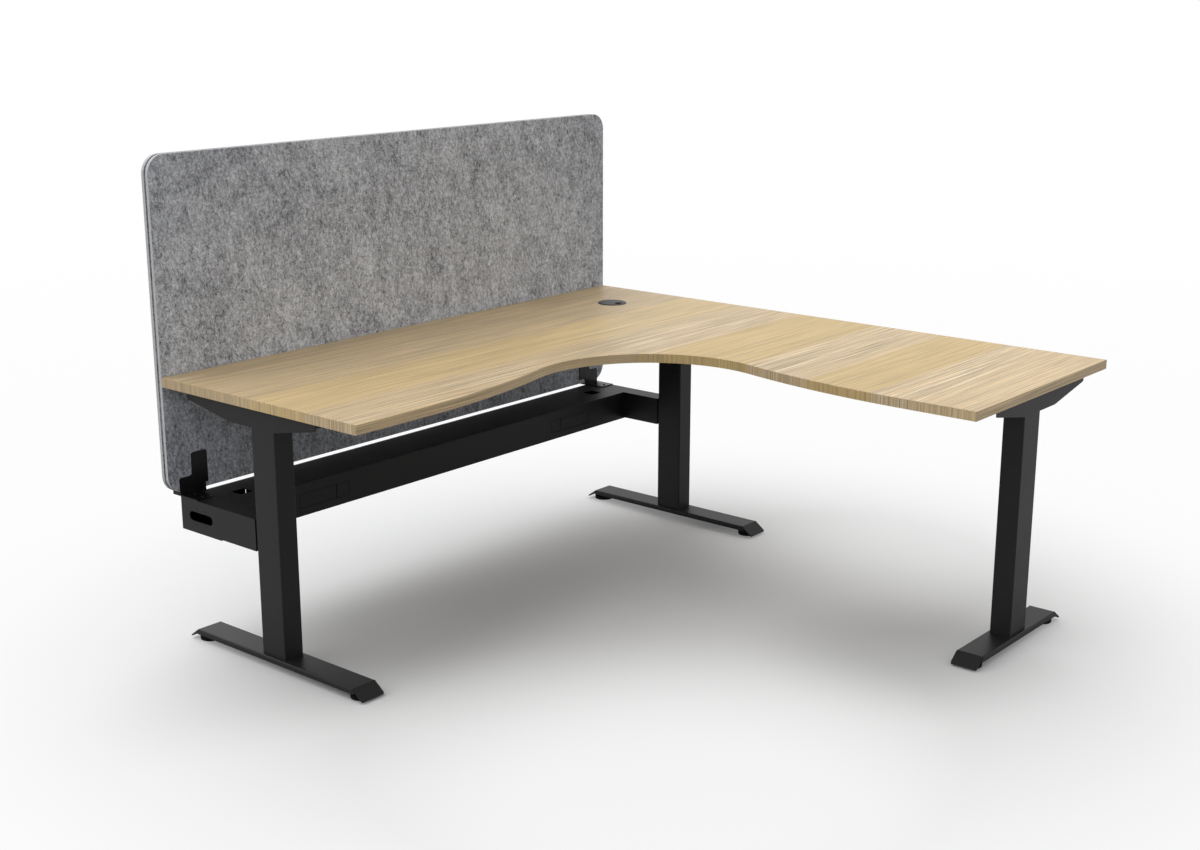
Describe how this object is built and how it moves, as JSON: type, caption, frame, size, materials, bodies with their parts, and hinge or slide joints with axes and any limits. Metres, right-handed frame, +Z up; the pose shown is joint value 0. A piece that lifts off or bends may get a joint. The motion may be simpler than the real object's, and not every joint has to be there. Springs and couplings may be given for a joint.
{
  "type": "corner desk",
  "caption": "Corner desk with a wave-front wood top on dark steel T-legs, a closed cable beam and a grey felt screen clamped behind side A.",
  "frame": {"origin": "floor, under the middle of the overall box", "axes": "+X along side A towards the outer corner, +Y towards the screen, +Z up; the return runs along -Y"},
  "size_m": [1.8, 1.8336, 1.307],
  "materials": {
    "wood": "light oak with a fine straight grain along side A, satin",
    "edging": "light oak edging, a little darker than the top",
    "grommet": "dark grey moulded plastic",
    "felt": "pressed grey felt with a fine mottle",
    "core": "dark core set back between the skins",
    "black_steel": "black powder coat",
    "pad": "black rubber",
    "dark_steel": "anthracite powder coat, fine texture",
    "blank": "dark moulded plastic",
    "glide": "black plastic",
    "zinc": "bright zinc"
  },
  "bodies": {
    "desk": {"desktop": "wood", "edging_rear": "edging", "edging_left": "edging", "edging_outer": "edging", "edging_right": "edging", "edging_wave": "edging", "grommet_ring": "grommet", "screen_front_felt": "felt", "screen_core": "core", "screen_back_felt": "felt", "left_screen_bracket": "black_steel", "right_screen_bracket": "black_steel", "left_screen_pad": "pad", "right_screen_pad": "pad", "bracket_screws": "black_steel", "screen_screws": "black_steel", "beam_channel": "dark_steel", "left_beam_arm": "dark_steel", "right_beam_arm": "dark_steel", "left_beam_spacer": "black_steel", "right_beam_spacer": "black_steel", "beam_bolts": "black_steel", "lid_ledges": "dark_steel", "left_wide_blank": "blank", "left_narrow_blank": "blank", "right_wide_blank": "blank", "right_narrow_blank": "blank", "left_column": "dark_steel", "corner_column": "dark_steel", "return_column": "dark_steel", "left_foot": "dark_steel", "corner_foot": "dark_steel", "return_foot": "dark_steel", "left_support_arm": "dark_steel", "corner_support_arm": "dark_steel", "return_support_arm": "dark_steel", "glide_nuts": "zinc", "foot_bolts": "zinc", "column_bolts": "zinc", "top_screws": "zinc", "rail_a": "dark_steel", "rail_b": "dark_steel", "rail_bolts": "zinc"},
    "lid": {"beam_lid": "dark_steel"},
    "cap": {"grommet_cap": "grommet"},
    "left_front_glide": {"left_front_glide": "glide"},
    "left_rear_glide": {"left_rear_glide": "glide"},
    "corner_front_glide": {"corner_front_glide": "glide"},
    "corner_rear_glide": {"corner_rear_glide": "glide"},
    "return_front_glide": {"return_front_glide": "glide"},
    "return_rear_glide": {"return_rear_glide": "glide"}
  },
  "joints": [
    {"name": "left_front_glide_thread", "type": "slide", "parent": "desk", "child": "left_front_glide", "axis": [0, 0, -1], "range_m": [0, 0.012]},
    {"name": "left_rear_glide_thread", "type": "slide", "parent": "desk", "child": "left_rear_glide", "axis": [0, 0, -1], "range_m": [0, 0.012]},
    {"name": "corner_front_glide_thread", "type": "slide", "parent": "desk", "child": "corner_front_glide", "axis": [0, 0, -1], "range_m": [0, 0.012]},
    {"name": "corner_rear_glide_thread", "type": "slide", "parent": "desk", "child": "corner_rear_glide", "axis": [0, 0, -1], "range_m": [0, 0.012]},
    {"name": "return_front_glide_thread", "type": "slide", "parent": "desk", "child": "return_front_glide", "axis": [0, 0, -1], "range_m": [0, 0.012]},
    {"name": "return_rear_glide_thread", "type": "slide", "parent": "desk", "child": "return_rear_glide", "axis": [0, 0, -1], "range_m": [0, 0.012]},
    {"name": "cap_turn", "type": "hinge", "parent": "desk", "child": "cap", "pos_m": [0.67, 0.65325, 0.73], "axis": [0, 0, 1], "continuous": true},
    {"name": "lid_lift", "type": "slide", "parent": "desk", "child": "lid", "axis": [0, 0, 1], "range_m": [0, 0.04]}
  ]
}
